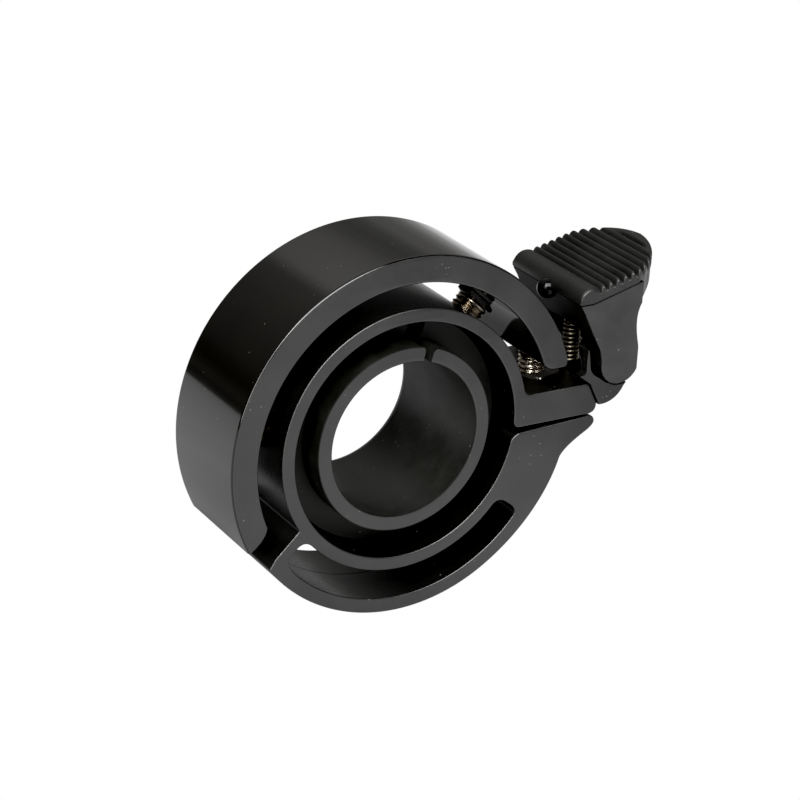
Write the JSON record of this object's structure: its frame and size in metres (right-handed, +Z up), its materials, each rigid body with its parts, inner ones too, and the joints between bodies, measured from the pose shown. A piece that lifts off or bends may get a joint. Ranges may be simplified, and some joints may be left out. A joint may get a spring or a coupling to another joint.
{
  "type": "bicycle bell",
  "caption": "Ring-shaped bicycle bell that clamps around a handlebar, with an arched gong outside the clamp band and a sprung thumb lever that strikes it.",
  "frame": {"origin": "on the handlebar's axis, at the middle of the clamp band's width", "axes": "+Y along the handlebar, +X from the handlebar towards the clamp lugs and the lever, +Z up, towards the side where the thumb pad stands"},
  "size_m": [0.0679, 0.0214, 0.0515],
  "materials": {
    "band": "satin moulded black",
    "sleeve": "satin black, slightly mottled",
    "gong": "gloss black lacquer outside, satin black end faces",
    "steel": "bright zinc-plated steel",
    "blackened": "blackened steel",
    "soft_washer": "matt",
    "base": "satin moulded black",
    "lever": "satin moulded black",
    "pad": "matt ribbed black",
    "striker": "gloss black"
  },
  "bodies": {
    "bell": {"clamp_band": "band", "handlebar_sleeve": "sleeve", "gong": "gong", "gong_screw_upper": "steel", "gong_collar_upper": "blackened", "gong_grommet_upper": "soft_washer", "gong_screw_left": "steel", "gong_collar_left": "blackened", "gong_grommet_left": "soft_washer", "clamp_bolt": "steel", "clamp_washer": "steel", "clamp_nut": "steel", "hinge_base": "base", "base_screw_front": "steel", "base_screw_back": "steel", "hinge_pin": "steel", "return_spring": "steel"},
    "lever": {"lever_body": "lever", "thumb_pad": "pad", "striker": "striker"}
  },
  "joints": [
    {"name": "lever_hinge", "type": "hinge", "parent": "bell", "child": "lever", "pos_m": [0.0337, 0, 0.00595], "axis": [0, -1, 0], "range_deg": [0, 13.8], "stiffness_Nm_per_rad": 0.08, "springref_deg": -17.19, "deforming": ["return_spring"]}
  ]
}
